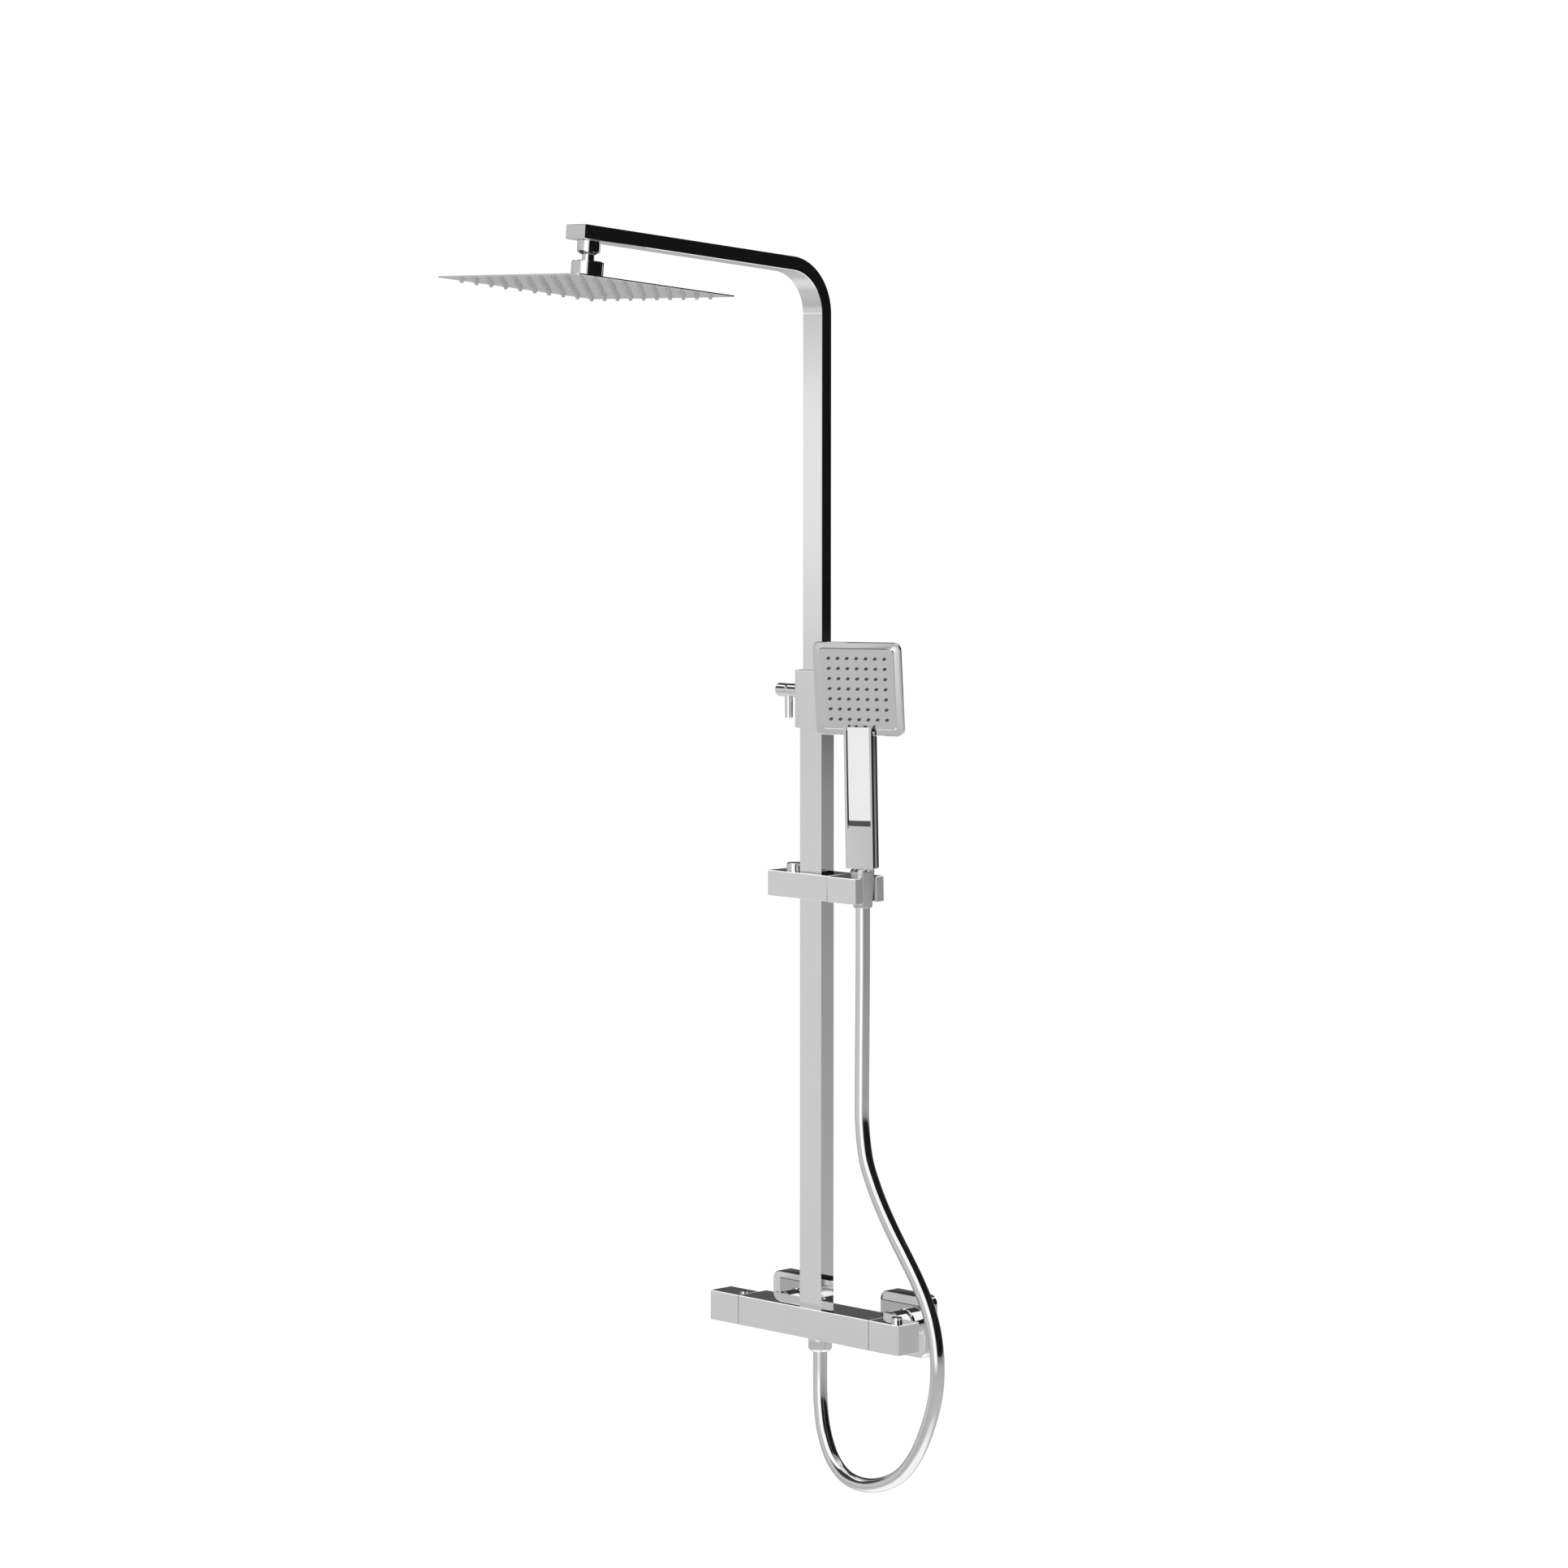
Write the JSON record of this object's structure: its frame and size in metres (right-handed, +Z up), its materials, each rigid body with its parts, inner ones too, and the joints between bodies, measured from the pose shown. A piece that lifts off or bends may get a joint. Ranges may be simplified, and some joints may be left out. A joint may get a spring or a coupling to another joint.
{
  "type": "rainfall shower column",
  "caption": "Chrome wall shower column: square thermostatic bar mixer, telescopic riser with a bent arm and thin square rain head, sliding holder, hand shower and hose.",
  "frame": {"origin": "on the wall face, midway between the two water inlets", "axes": "+X to the right seen from the room, +Y into the wall, +Z up along the riser"},
  "size_m": [0.3002, 0.4888, 1.2219],
  "materials": {
    "chromed_brass": "polished chrome plating on brass",
    "chromed_steel": "polished chrome plating on steel",
    "chromed_plastic": "polished chrome plating on moulded plastic",
    "silver_hose": "smooth silver film under clear vinyl",
    "nozzle_silicone": "matte grey silicone",
    "seal_rubber": "matte black rubber",
    "plain_brass": "machined",
    "plain_steel": "bright drawn",
    "dark_plastic": "moulded acetal",
    "white_plastic": "moulded acetal"
  },
  "bodies": {
    "fixed_column": {"mixer_body": "chromed_brass", "hot_wall_union": "chromed_brass", "cold_wall_union": "chromed_brass", "hot_escutcheon": "chromed_steel", "cold_escutcheon": "chromed_steel", "hot_union_nut": "chromed_brass", "cold_union_nut": "chromed_brass", "inlet_filter_washers": "seal_rubber", "check_valves": "white_plastic", "thermostatic_cartridge": "plain_brass", "diverter_cartridge": "plain_brass", "cartridge_retaining_nuts": "plain_brass", "hose_outlet_nipple": "plain_brass", "outlet_hose_nut": "chromed_brass", "hose_tube": "silver_hose", "lower_riser_tube": "chromed_brass", "riser_foot_plug": "dark_plastic", "riser_o_rings": "seal_rubber", "telescopic_collar": "chromed_brass", "collar_liner": "dark_plastic", "wall_bracket_post": "chromed_brass", "wall_bracket_plate": "chromed_brass", "bracket_screws": "plain_steel"},
    "temperature_control": {"temperature_knob": "chromed_plastic", "temperature_spindle": "plain_brass", "temperature_button_spring": "plain_steel"},
    "temperature_stop": {"temperature_stop_button": "chromed_plastic"},
    "flow_control": {"flow_knob": "chromed_plastic", "flow_spindle": "plain_brass", "flow_button_spring": "plain_steel"},
    "flow_stop": {"flow_button": "chromed_plastic"},
    "lock_lever": {"lock_lever_drum": "chromed_brass", "lock_lever_rod": "chromed_brass"},
    "upper_riser": {"upper_riser_arm": "chromed_brass", "riser_piston": "dark_plastic", "piston_seals": "seal_rubber", "arm_end_cap": "chromed_brass", "head_nipple": "plain_brass", "ball_nut": "chromed_brass", "ball_stem": "chromed_brass"},
    "ball_seat_upper": {"upper_ball_seat": "white_plastic"},
    "ball_seat_lower": {"lower_ball_seat": "white_plastic"},
    "rain_head": {"socket_nut": "chromed_brass", "head_strainer": "plain_steel", "head_cover": "chromed_steel", "head_plate": "chromed_steel", "head_nozzle_mat": "nozzle_silicone"},
    "slider": {"slider_body": "chromed_plastic", "slider_liner": "dark_plastic", "slider_button_spring": "plain_steel", "holder_pivot_pin": "plain_brass"},
    "slider_release": {"slider_button": "chromed_plastic"},
    "holder": {"holder_fork": "chromed_plastic"},
    "handset": {"cone_nut": "chromed_plastic", "hose_washer": "seal_rubber", "handset_handle": "chromed_plastic", "handset_panel": "chromed_plastic", "handset_head_shell": "chromed_plastic", "handset_face_plate": "chromed_plastic", "handset_nozzle_mat": "nozzle_silicone"}
  },
  "joints": [
    {"name": "temperature_turn", "type": "hinge", "parent": "fixed_column", "child": "temperature_control", "pos_m": [-0.11, -0.066, 0], "axis": [1, 0, 0], "range_deg": [-150, 60]},
    {"name": "temperature_stop_press", "type": "slide", "parent": "temperature_control", "child": "temperature_stop", "axis": [0, 0, -1], "range_m": [0, 0.0015], "stiffness_N_per_m": 1500, "springref_m": -0.001, "deforming": ["temperature_button_spring"]},
    {"name": "flow_turn", "type": "hinge", "parent": "fixed_column", "child": "flow_control", "pos_m": [0.11, -0.066, 0], "axis": [1, 0, 0], "range_deg": [-90, 90]},
    {"name": "flow_stop_press", "type": "slide", "parent": "flow_control", "child": "flow_stop", "axis": [0, 0, -1], "range_m": [0, 0.0025], "stiffness_N_per_m": 1500, "springref_m": -0.001, "deforming": ["flow_button_spring"]},
    {"name": "lock_lever_turn", "type": "hinge", "parent": "fixed_column", "child": "lock_lever", "pos_m": [-0.036, -0.061, 0.617], "axis": [1, 0, 0], "range_deg": [-100, 0]},
    {"name": "riser_slide", "type": "slide", "parent": "fixed_column", "child": "upper_riser", "axis": [0, 0, 1], "range_m": [-0.25, 0.08]},
    {"name": "head_tilt_forward", "type": "hinge", "parent": "upper_riser", "child": "ball_seat_upper", "pos_m": [0, -0.35953, 1.02148], "axis": [1, 0, 0], "range_deg": [-12, 12]},
    {"name": "head_tilt_sideways", "type": "hinge", "parent": "ball_seat_upper", "child": "ball_seat_lower", "pos_m": [0, -0.35953, 1.02148], "axis": [0, 1, 0], "range_deg": [-12, 12]},
    {"name": "head_swivel", "type": "hinge", "parent": "ball_seat_lower", "child": "rain_head", "pos_m": [0, -0.35953, 1.02148], "axis": [0, 0.0924, 0.9957], "range_deg": [-180, 180]},
    {"name": "slider_slide", "type": "slide", "parent": "fixed_column", "child": "slider", "axis": [0, 0, 1], "range_m": [-0.2, 0.13], "deforming": ["hose_tube"]},
    {"name": "slider_button_press", "type": "slide", "parent": "slider", "child": "slider_release", "axis": [0, 0, -1], "range_m": [0, 0.003], "stiffness_N_per_m": 1500, "springref_m": -0.001, "deforming": ["slider_button_spring"]},
    {"name": "holder_tilt", "type": "hinge", "parent": "slider", "child": "holder", "pos_m": [0.04, -0.061, 0.4288], "axis": [1, 0, 0], "range_deg": [-1.4, 25]},
    {"name": "handset_turn", "type": "hinge", "parent": "holder", "child": "handset", "pos_m": [0.0625, -0.061, 0.4288], "axis": [0, -0.0244, 0.9997], "range_deg": [-2, 100]}
  ]
}
